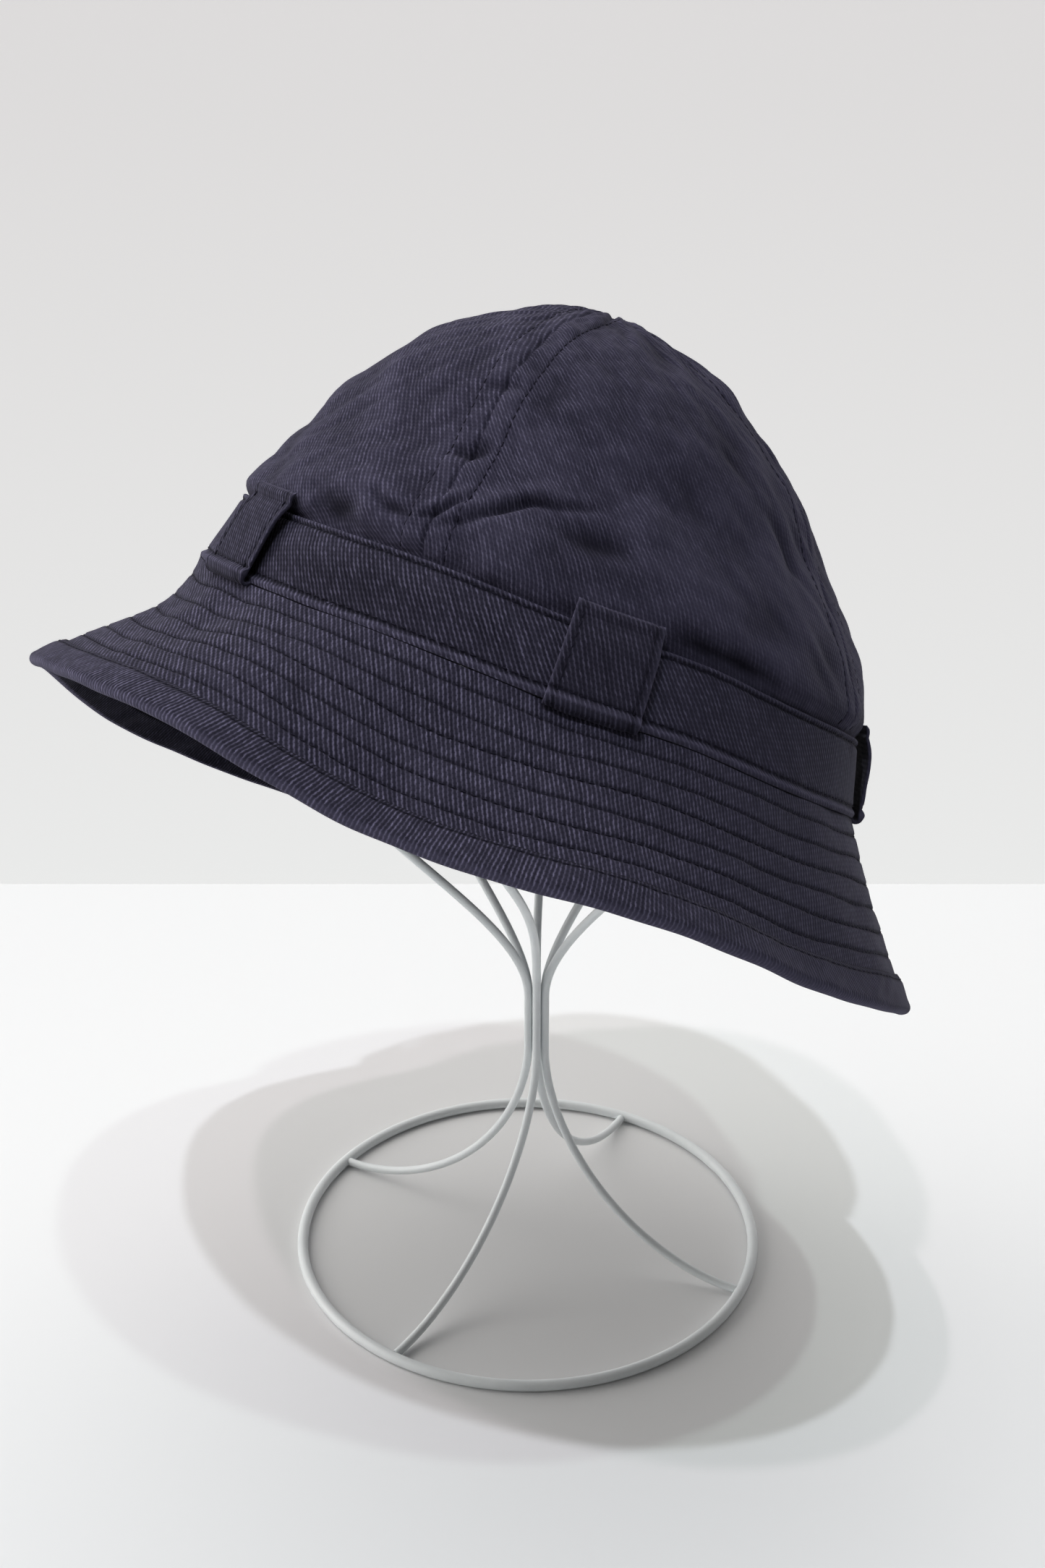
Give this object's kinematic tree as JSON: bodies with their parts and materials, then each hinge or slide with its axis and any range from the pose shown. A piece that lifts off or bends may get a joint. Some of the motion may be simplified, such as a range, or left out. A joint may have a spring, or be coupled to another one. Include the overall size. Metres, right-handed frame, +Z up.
{
  "type": "bush hat on a wire hat stand",
  "caption": "Soft bell-shaped cloth hat with a band, strap loops and a stitched, waved brim, tilted on the ball of a bent-wire stand.",
  "frame": {"origin": "middle of the whole thing's box, on the floor that the stand's ring rests on", "axes": "+Z up; +X to the right as seen in the picture; +Y away from the viewer; the crown leans towards +X and +Y"},
  "size_m": [0.2358, 0.2292, 0.2983],
  "materials": {
    "navy_twill": "washed navy cotton twill, matt, slightly faded on the ridges",
    "navy_bias": "the same twill cut on the bias, matt",
    "white_wire": "white paint on steel wire, satin"
  },
  "bodies": {
    "root": {"crown_panel_1": "navy_twill", "crown_panel_2": "navy_twill", "crown_panel_3": "navy_twill", "crown_panel_4": "navy_twill", "crown_band": "navy_twill", "brim": "navy_twill", "brim_binding": "navy_bias", "band_loop_1": "navy_twill", "band_loop_2": "navy_twill", "band_loop_3": "navy_twill", "band_loop_4": "navy_twill", "band_loop_5": "navy_twill", "stand_base_ring": "white_wire", "stand_wire_1": "white_wire", "stand_wire_2": "white_wire", "stand_wire_3": "white_wire"}
  },
  "joints": []
}
